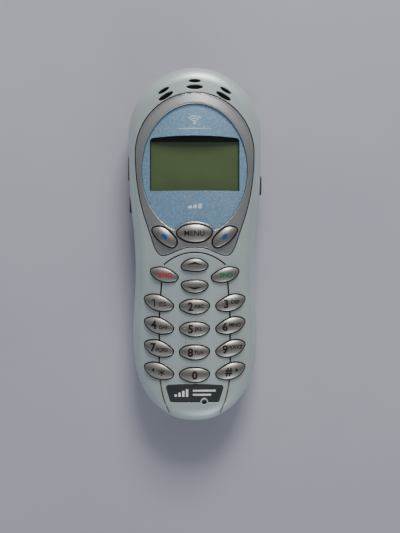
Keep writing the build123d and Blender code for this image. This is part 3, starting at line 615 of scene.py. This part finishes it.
# The lens and its print: a clear acrylic moulding, printed from behind in a blue full of silver flake
# with the display window left open. The device and the bars are pale silver.
clear_acrylic, tree, place = new_finish("clear_acrylic")
tooth = use_group(tree, grain, Place=place, Fine=1200.0, Broad=160.0)
haze = ranged(tree, tooth["Mottle"], 0.0, 1.0, 0.03, 0.09)
seen = add_node(tree, "ShaderNodeBsdfTransparent", {"Color": (0.97, 0.985, 0.99, 1)})
gloss = add_node(tree, "ShaderNodeBsdfGlossy", {"Color": (1, 1, 1, 1), "Roughness": haze})
bounce = add_node(tree, "ShaderNodeFresnel", {"IOR": 1.49}).outputs[0]
inner_face = add_node(tree, "ShaderNodeNewGeometry").outputs["Backfacing"]
outer_face = worked(tree, "SUBTRACT", 1.0, inner_face)
bounce = worked(tree, "MULTIPLY", bounce, outer_face)
pane = add_node(tree, "ShaderNodeMixShader", {0: bounce, 1: seen.outputs[0], 2: gloss.outputs[0]})
add_node(tree, "ShaderNodeOutputMaterial", {"Surface": pane.outputs[0]})
dress(clear_acrylic, "clear_lens", "display_lens")

blue_print = lacquer(
    "blue_flake_print",
    (0.28, 0.46, 0.66, 1),
    (0.33, 0.52, 0.72, 1),
    (0.5, 0.66, 0.8, 1),
    0.5,
    0.38,
    reach=0.0001,
    dirt=0.0,
    flakes=4600.0,
    sparkle=0.4,
    fine=3000.0,
    deep=0.000004,
)
dress(blue_print, "blue_print", "lens_print")

silver_ink = plain_ink("silver_ink", (0.72, 0.76, 0.78, 1), 0.35)


def arc(cx, cy, radius, start, end, steps=20):
    """Points along a flat arc, in degrees."""
    turns = [math.radians(start + (end - start) * step / steps) for step in range(steps + 1)]
    return [(cx + radius * math.cos(turn), cy + radius * math.sin(turn)) for turn in turns]


WAVE_Y, BAR_Y = 41.2, 12.3
device = []
for radius in (0.95, 1.75, 2.55):
    device += ribbon(arc(0, WAVE_Y, radius, 140, 40), [0.3] * 21)
device.append(arc(0, WAVE_Y, 0.42, 0, 342, 19))
line_under = [(-6.2 + 0.62 * step, 39.5) for step in range(21)]
device += ribbon(line_under, [0.08 + 0.2 * math.sin(math.pi * step / 20) for step in range(21)])
for bar in range(3):
    left, top = -2.3 + 1.7 * bar, 13.2 + 0.35 * bar
    device.append([(left, BAR_Y), (left + 1.2, BAR_Y), (left + 1.5, top), (left + 0.3, top)])
print_film("lens_device", device, "lens_print", silver_ink, "housing", 1, 0.000012)

# The display: a reflective olive glass of small dots behind the window, with a near-black band painted along
# its top and sides as the shadow of the window's edges, held in a black shroud on a moulded carrier.
lcd_glass, tree, place = new_finish("lcd_glass")
DOT, DOT_GAP = 0.00034, 0.14  # the pitch of the dots, and the gap between them as a share of it
SHADOW_BAND_Y, SHADOW_BAND_X = 0.0352, 0.01505  # where the painted shadow band starts
axes = add_node(tree, "ShaderNodeSeparateXYZ", {0: place}).outputs
lines = []
for axis in ("X", "Y"):
    part = worked(tree, "FRACT", worked(tree, "DIVIDE", axes[axis], DOT))
    lines.append(worked(tree, "LESS_THAN", part, DOT_GAP))
dots = worked(tree, "MAXIMUM", *lines)
tooth = use_group(tree, grain, Place=place, Fine=5000.0, Broad=90.0)
olive = mixed(tree, tooth["Mottle"], (0.095, 0.125, 0.052, 1), (0.11, 0.142, 0.06, 1))
olive = mixed(tree, worked(tree, "MULTIPLY", dots, 0.25), olive, (0.14, 0.175, 0.08, 1))
# painted shadow: near-black along the top and both sides of the glass
top_shadow_band = worked(tree, "GREATER_THAN", axes["Y"], SHADOW_BAND_Y)
side_shadow_band = worked(tree, "GREATER_THAN", worked(tree, "ABSOLUTE", axes["X"]), SHADOW_BAND_X)
olive = mixed(tree, worked(tree, "MAXIMUM", top_shadow_band, side_shadow_band), olive, (0.012, 0.014, 0.013, 1))
skin(tree, Base_Color=olive, Roughness=0.3, Specular_IOR_Level=0.4)
dress(lcd_glass, "lcd_glass", "lcd_panel")


def moulded(
    name,
    dark,
    pale,
    gloss,
    metal=0.0,
    fine=3000.0,
    broad=120.0,
    deep=0.00002,
    worn=None,
    reach=0.00015,
    dirt=0.3,
):
    """A moulded, pressed or plated finish: tooth, mottle, edges that wear to another tint, a little dust."""
    finish, tree, place = new_finish(name)
    body = use_group(tree, grain, Place=place, Fine=fine, Broad=broad)
    edge = use_group(tree, worn_edge, Place=place, Reach=reach)
    grime_and_shade = use_group(tree, settled_grime, Place=place, Amount=dirt)
    paler = tuple(min(1.0, channel * 1.5 + 0.03) for channel in pale[:3]) + (1,)
    coat = mixed(tree, body["Mottle"], dark, pale)
    coat = mixed(tree, edge["Mask"], coat, worn or paler)
    coat = mixed(tree, grime_and_shade["Dust"], coat, DUST)
    rough = ranged(tree, body["Tooth"], 0.3, 0.7, gloss - 0.05, gloss + 0.08)
    bump = add_node(
        tree,
        "ShaderNodeBump",
        {"Strength": 0.35, "Distance": deep, "Height": body["Height"], "Normal": edge["Normal"]},
    )
    skin(tree, Base_Color=coat, Metallic=metal, Roughness=rough, Normal=bump.outputs[0])
    return finish


black_plastic = moulded("black_plastic", (0.012, 0.012, 0.013, 1), (0.02, 0.02, 0.021, 1), 0.5)
dress(black_plastic, "black_plastic", "display_shroud")
grey_plastic = moulded("grey_plastic", (0.26, 0.27, 0.28, 1), (0.33, 0.34, 0.35, 1), 0.5)
dress(grey_plastic, "grey_plastic", "display_carrier")

# The keys: polycarbonate caps lacquered warm silver. Each rests on a rubber mat and comes up through
# the housing. Their legends are pad-printed: black figures and letters, red and green call keys, blue dots.
# The lacquer paints near-black shade into the narrow gaps round each cap, to darken the key outlines.
key_lacquer = lacquer(
    "key_lacquer",
    (0.37, 0.345, 0.31, 1),
    (0.43, 0.405, 0.365, 1),
    (0.66, 0.64, 0.6, 1),
    0.88,
    0.31,
    reach=0.0002,
    sparkle=0.12,
    fine=5000.0,
    deep=0.000004,
)
KEY_NAMES = sorted(name for name in PARTS if name.startswith("key_"))
LEGEND_STEPS, LEGEND_PROUD = 3, 0.000022
dress(key_lacquer, "key_silver", *KEY_NAMES)

black_ink = plain_ink("black_ink", (0.012, 0.01, 0.009, 1), 0.5)
red_ink = plain_ink("red_ink", (0.42, 0.008, 0.012, 1), 0.5)
green_ink = plain_ink("green_ink", (0.006, 0.13, 0.055, 1), 0.5)
blue_ink = plain_ink("blue_ink", (0.006, 0.06, 0.22, 1), 0.5)


def lettering(words, x, y, tall, weight, squeeze):
    """Words as a flat mesh, their middle at x, y in millimetres and their capitals that tall."""
    letters = bpy.data.curves.new("letters", "FONT")
    letters.body = words
    letters.size = tall / 0.72
    letters.offset = weight
    letters.resolution_u = 3
    letters.align_x = "CENTER"
    letters.align_y = "CENTER"
    holder = bpy.data.objects.new("letters", letters)
    scene.collection.objects.link(holder)
    bpy.context.view_layer.update()
    flat = bpy.data.meshes.new_from_object(holder.evaluated_get(bpy.context.evaluated_depsgraph_get()))
    bpy.data.objects.remove(holder)
    low = min(vertex.co.y for vertex in flat.vertices)
    high = max(vertex.co.y for vertex in flat.vertices)
    left = min(vertex.co.x for vertex in flat.vertices)
    right = max(vertex.co.x for vertex in flat.vertices)
    for vertex in flat.vertices:
        across = (vertex.co.x - (left + right) / 2) * squeeze + x
        vertex.co = (across * MM, (vertex.co.y - (low + high) / 2 + y) * MM, 0)
    return flat


# legend of each key: figure, its place from the key's middle, letters and their place
LEGENDS = {
    "key_2": ("2", -1.35, 0.05, "ABC", 1.5, 0.2),
    "key_3": ("3", -1.5, -0.35, "DEF", 1.65, 0.3),
    "key_4": ("4", -1.75, 0.3, "GHI", 1.45, -0.6),
    "key_5": ("5", -1.3, 0.15, "JKL", 1.35, 0.0),
    "key_6": ("6", -1.85, -0.35, "MNO", 1.55, 0.3),
    "key_7": ("7", -1.95, 0.4, "PQRS", 0.95, -0.55),
    "key_8": ("8", -1.35, 0.0, "TUV", 1.5, 0.0),
    "key_9": ("9", -1.85, -0.3, "WXYZ", 1.5, 0.55),
    "key_0": ("0", 0.1, 0.0, "", 0, 0),
    "key_hash": ("#", -0.6, -0.35, "", 0, 0),
}
FIGURE_TALL, LETTERS_TALL, MENU_TALL, CALL_TALL = 2.8, 1.3, 1.85, 1.65
FIGURE_WEIGHT, LETTERS_WEIGHT, MENU_WEIGHT, NARROW = 0.14, 0.05, 0.02, 0.95
middle = {}
for name in KEY_NAMES:
    low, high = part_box(name)
    middle[name] = ((low.x + high.x) / 2 / MM, (low.y + high.y) / 2 / MM)

marks = {name: [] for name in KEY_NAMES}
for name, (figure, fx, fy, letters, lx, ly) in LEGENDS.items():
    cx, cy = middle[name]
    marks[name].append(lettering(figure, cx + fx, cy + fy, FIGURE_TALL, FIGURE_WEIGHT, NARROW))
    if letters:
        marks[name].append(lettering(letters, cx + lx, cy + ly, LETTERS_TALL, LETTERS_WEIGHT, NARROW))

# the figure 1, a stem with a flag, and the message envelope beside it
STEM_HALF, STEM_END, FLAG_OUT = 0.22, 1.35, 0.8
cx, cy = middle["key_1"]
stem_x = cx - 1.5
left, right, top = stem_x - STEM_HALF, stem_x + STEM_HALF, cy + STEM_END
marks["key_1"].append([(left, cy - STEM_END), (right, cy - STEM_END), (right, top), (left, top)])
flag_x = stem_x - FLAG_OUT
marks["key_1"].append([(flag_x, cy + 0.62), (left, cy + 0.85), (left, top), (flag_x, cy + 0.95)])
ENVELOPE_HALF_X, ENVELOPE_HALF_Y = 1.05, 0.6
ex, ey = cx + 1.35, cy - 0.45
rim = [
    (ex + across * ENVELOPE_HALF_X, ey + up * ENVELOPE_HALF_Y)
    for across, up in ((-1, -1), (1, -1), (1, 1), (-1, 1), (-1, -1))
]
for start, end in zip(rim, rim[1:]):
    marks["key_1"] += ribbon((start, end), (0.2, 0.2))
for side in (-1, 1):
    marks["key_1"] += ribbon(((ex + side * 1.0, ey + 0.55), (ex, ey - 0.05)), (0.15, 0.15))
    marks["key_1"] += ribbon(((ex + side * 1.0, ey - 0.55), (ex + side * 0.35, ey + 0.1)), (0.13, 0.13))

# the star key's six arms and the two arrowheads
ARM = 1.25
cx, cy = middle["key_star"]
hub = (cx + 0.95, cy - 0.45)
for arm in range(6):
    turn = math.radians(30 + 60 * arm)
    tip = (hub[0] + ARM * math.cos(turn), hub[1] + ARM * math.sin(turn))
    marks["key_star"] += ribbon((hub, tip), (0.32, 0.36))
marks["key_star"].append([(cx - 2.6, cy + 0.4), (cx - 1.6, cy - 0.3), (cx - 1.6, cy + 1.1)])
cx, cy = middle["key_hash"]
marks["key_hash"].append([(cx + 2.75, cy + 0.35), (cx + 1.75, cy + 1.05), (cx + 1.75, cy - 0.35)])

# the chevrons of the two scroll keys, thick in the middle and drawn out to points
swell = [1 - abs(step - 10) / 10 for step in range(21)]
for name, bend in (("key_up", 1), ("key_down", -1)):
    cx, cy = middle[name]
    bow = [
        (cx - 2.5 + 0.25 * step, cy + bend * (0.1 + 0.55 * share**1.3)) for step, share in enumerate(swell)
    ]
    marks[name] += ribbon(bow, [0.14 + 0.66 * share for share in swell])
marks["key_menu"].append(lettering("MENU", *middle["key_menu"], MENU_TALL, MENU_WEIGHT, 1.0))


def print_legend(name, ending, shapes, ink):
    """A key's print, laid on its cap and moving with it."""
    print_film(name + ending, shapes, name, ink, name + "_body", LEGEND_STEPS, LEGEND_PROUD)


for name in KEY_NAMES:
    if marks[name]:
        print_legend(name, "_legend", marks[name], black_ink)
for name, word, ink, shift in (("key_end", "END", red_ink, 0.55), ("key_send", "SND", green_ink, 0.4)):
    cx, cy = middle[name]
    word_flat = lettering(word, cx + shift, cy - 0.15, CALL_TALL, LETTERS_WEIGHT, 0.98)
    print_legend(name, "_legend", [word_flat], ink)
DOT_LONG, DOT_SHORT, DOT_SIDES = 1.25, 0.7, 24
for name, side in (("key_soft_left", -1), ("key_soft_right", 1)):
    cx, cy = middle[name]
    lean = math.radians(45 * side)
    dot = []
    for step in range(DOT_SIDES):
        turn = 2 * math.pi * step / DOT_SIDES
        long, short = DOT_LONG * math.cos(turn), DOT_SHORT * math.sin(turn)
        x = cx + long * math.cos(lean) - short * math.sin(lean)
        y = cy + 0.1 + long * math.sin(lean) + short * math.cos(lean)
        dot.append((x, y))
    print_legend(name, "_dot", [dot], blue_ink)

# The badge: a thin plate of dark satin enamel let into the chin.
# Two plain lines and four rising bars are printed on it in silver.
badge_enamel = moulded(
    "badge_enamel",
    (0.032, 0.036, 0.038, 1),
    (0.045, 0.05, 0.052, 1),
    0.38,
    0.1,
    worn=(0.35, 0.36, 0.36, 1),
    reach=0.00012,
)
dress(badge_enamel, "badge_grey", "badge_plate")
BARS_LEFT, BARS_FOOT, BAR_PITCH, BAR_WIDE, BAR_RISE = -6.9, -52.3, 1.3, 0.8, 0.6
LINES_LEFT, LINE_HALF = -0.6, 0.3
badge_marks = []
for bar in range(4):
    left, top = BARS_LEFT + BAR_PITCH * bar, -51.5 + BAR_RISE * bar
    right = left + BAR_WIDE
    badge_marks.append([(left, BARS_FOOT), (right, BARS_FOOT), (right, top), (left, top)])
for row, end in ((-50.2, 7.2), (-51.6, 5.6)):
    low, high = row - LINE_HALF, row + LINE_HALF
    badge_marks.append([(LINES_LEFT, low), (end, low), (end, high), (LINES_LEFT, high)])
print_film("badge_print", badge_marks, "badge_plate", silver_ink, "housing", 2, 0.000012)

# The earpiece: a small dynamic speaker under six slots in the head.
# A black woven screen lies over it, on a felt backing fixed inside the housing.
woven_screen, taken, given = open_tree(
    "woven_screen",
    [
        ("Ground", "Object"),
        ("Wide", "Float"),
        ("Deep", "Float"),
        ("Middle", "Vector"),
        ("Pitch", "Float"),
        ("Wire", "Float"),
        ("Thread", "Material"),
    ],
    "Screen",
)


def counted(span, pitch):
    """How many wires fit a span."""
    share = worked(woven_screen, "DIVIDE", span, pitch)
    return add_node(woven_screen, "FunctionNodeFloatToInt", {0: share}).outputs[0]


cloth = add_node(
    woven_screen,
    "GeometryNodeMeshGrid",
    {
        "Size X": taken["Wide"],
        "Size Y": taken["Deep"],
        "Vertices X": counted(taken["Wide"], taken["Pitch"]),
        "Vertices Y": counted(taken["Deep"], taken["Pitch"]),
    },
)
moved_in = add_node(
    woven_screen, "GeometryNodeTransform", {"Geometry": cloth.outputs[0], "Translation": taken["Middle"]}
)
above = add_node(woven_screen, "GeometryNodeInputPosition").outputs[0]
landed, missed = fall_onto(woven_screen, taken["Ground"], above)
laid = add_node(
    woven_screen, "GeometryNodeSetPosition", {"Geometry": moved_in.outputs[0], "Position": landed}
)
kept = add_node(
    woven_screen,
    "GeometryNodeDeleteGeometry",
    {"Geometry": laid.outputs[0], "Selection": missed},
    domain="POINT",
)
threads = add_node(woven_screen, "GeometryNodeMeshToCurve", {0: kept.outputs[0]})
round_wire = add_node(
    woven_screen, "GeometryNodeCurvePrimitiveCircle", {"Resolution": 4, "Radius": taken["Wire"]}
)
wires = add_node(
    woven_screen,
    "GeometryNodeCurveToMesh",
    {"Curve": threads.outputs[0], "Profile Curve": round_wire.outputs[0], "Fill Caps": True},
)
real = add_node(woven_screen, "GeometryNodeRealizeInstances", {"Geometry": wires.outputs[0]})
dyed = add_node(
    woven_screen, "GeometryNodeSetMaterial", {"Geometry": real.outputs[0], "Material": taken["Thread"]}
)
woven_screen.links.new(dyed.outputs[0], given[0])

black_thread = moulded("black_thread", (0.01, 0.01, 0.01, 1), (0.018, 0.018, 0.018, 1), 0.6, fine=8000.0)
SCREEN_INSET, SCREEN_PITCH, WIRE_R, ABOVE_SCREEN = 0.0004, 0.00034, 0.00004, 0.001
low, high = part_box("earpiece_mesh")
screen = bpy.data.objects.new("earpiece_screen", bpy.data.meshes.new("earpiece_screen"))
scene.collection.objects.link(screen)
grown(
    woven_screen,
    screen,
    {
        "Ground": PARTS["earpiece_mesh"],
        "Wide": high.x - low.x - SCREEN_INSET,
        "Deep": high.y - low.y - SCREEN_INSET,
        "Middle": ((low.x + high.x) / 2, (low.y + high.y) / 2, high.z + ABOVE_SCREEN),
        "Pitch": SCREEN_PITCH,
        "Wire": WIRE_R,
        "Thread": black_thread,
    },
)
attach(screen, "housing")
felt = moulded("screen_backing", (0.006, 0.006, 0.006, 1), (0.011, 0.011, 0.012, 1), 0.8, fine=6000.0)
dress(felt, "black_mesh", "earpiece_mesh")
bright_metal = moulded(
    "speaker_metal", (0.42, 0.42, 0.43, 1), (0.52, 0.52, 0.53, 1), 0.32, 1.0, fine=7000.0, deep=0.000005
)
dress(bright_metal, "speaker_metal", "earpiece_speaker")

# The side keys: rubber-faced bars let into the two flanks, a long rocker and a short bar at the left and
# one bar at the right. Each presses small steel-cased switches on the board.
side_rubber = moulded(
    "side_rubber", (0.02, 0.022, 0.025, 1), (0.03, 0.033, 0.036, 1), 0.62, fine=3500.0, dirt=0.5
)
dress(side_rubber, "side_rubber", "volume_key", "smart_key", "voice_key")
switch_steel = moulded("switch_steel", (0.4, 0.4, 0.41, 1), (0.5, 0.5, 0.5, 1), 0.35, 1.0, deep=0.000005)
dress(switch_steel, "switch_metal", "volume_switch_up", "volume_switch_down", "smart_switch", "voice_switch")

# The antenna: a nickel-plated steel whip under a moulded knob at the right shoulder.
# It slides in a white guide tube, through a turned brass bush held in the rear housing.
whip_plate = moulded(
    "whip_plate", (0.5, 0.5, 0.51, 1), (0.58, 0.58, 0.59, 1), 0.2, 1.0, fine=9000.0, deep=0.000003
)
dress(whip_plate, "whip_steel", "antenna_whip")
knob_plastic = moulded(
    "knob_plastic", (0.03, 0.033, 0.036, 1), (0.045, 0.049, 0.052, 1), 0.45, fine=2500.0, dirt=0.5
)
dress(knob_plastic, "dark_plastic", "antenna_knob")
natural_nylon = moulded("natural_nylon", (0.55, 0.54, 0.5, 1), (0.63, 0.62, 0.58, 1), 0.4)
dress(natural_nylon, "white_plastic", "antenna_guide")
turned_brass = moulded(
    "turned_brass", (0.5, 0.34, 0.13, 1), (0.6, 0.42, 0.18, 1), 0.3, 1.0, fine=6000.0, deep=0.000005
)
dress(turned_brass, "brass", "antenna_bush")

# The two ends: a headset socket in the head and a wide contact connector in the chin.
# Both are black moulded plastic and open through the end walls of the case.
dress(black_plastic, "jack_plastic", "headset_jack")
socket_plastic = moulded("socket_plastic", (0.015, 0.015, 0.017, 1), (0.026, 0.026, 0.028, 1), 0.45)
dress(socket_plastic, "black_plastic", "accessory_connector")

# The board and its parts: glass laminate under green solder mask, with tinned steel screens, the ringer and
# the motor below it, and a pale dome film and a grey rubber mat above it, under the keys.
# The microphone is a metal capsule in a rubber boot, under the hole in the chin.
solder_mask = moulded(
    "solder_mask", (0.008, 0.075, 0.03, 1), (0.014, 0.1, 0.04, 1), 0.3, fine=5000.0, broad=500.0
)
dress(solder_mask, "board_green", "main_board")
tin_plate = moulded(
    "tin_plate", (0.46, 0.46, 0.45, 1), (0.56, 0.56, 0.55, 1), 0.3, 1.0, fine=5000.0, deep=0.000005
)
dress(tin_plate, "shield_metal", "shield_can_logic", "shield_can_radio")
dome_film = moulded("dome_film", (0.5, 0.5, 0.47, 1), (0.6, 0.6, 0.57, 1), 0.25, 0.1)
dress(dome_film, "dome_film", "dome_sheet")
mat_rubber = moulded("mat_rubber", (0.5, 0.51, 0.5, 1), (0.58, 0.59, 0.57, 1), 0.6)
dress(mat_rubber, "mat_rubber", "keypad_mat")
motor_steel = moulded("motor_steel", (0.4, 0.4, 0.41, 1), (0.52, 0.52, 0.53, 1), 0.33, 1.0, deep=0.000006)
dress(motor_steel, "motor_metal", "vibration_motor")
dress(black_plastic, "black_plastic", "ringer")
dress(bright_metal, "speaker_metal", "microphone")
boot_rubber = moulded("boot_rubber", (0.014, 0.014, 0.015, 1), (0.022, 0.022, 0.023, 1), 0.7)
dress(boot_rubber, "black_rubber", "microphone_boot")

# The battery: a slim pack in a matt charcoal plastic shell, lying in its bay behind the door.
# Gold-plated contacts meet it at the head of the bay.
battery_shell = moulded("battery_shell", (0.045, 0.047, 0.05, 1), (0.06, 0.062, 0.066, 1), 0.55, fine=2200.0)
dress(battery_shell, "battery_shell", "battery_pack")
gold_plate = moulded(
    "gold_plate", (0.72, 0.5, 0.16, 1), (0.8, 0.58, 0.22, 1), 0.22, 1.0, fine=8000.0, deep=0.000003
)
dress(gold_plate, "gold_contact", "battery_contacts")

# The case screws: four of black-zinc steel, driven up from the back.
# They pass through the rear housing's posts into the posts of the front one.
black_zinc = moulded("black_zinc", (0.05, 0.05, 0.052, 1), (0.08, 0.08, 0.082, 1), 0.35, 0.9, deep=0.000005)
dress(black_zinc, "screw_steel", *sorted(name for name in PARTS if name.startswith("housing_screw")))
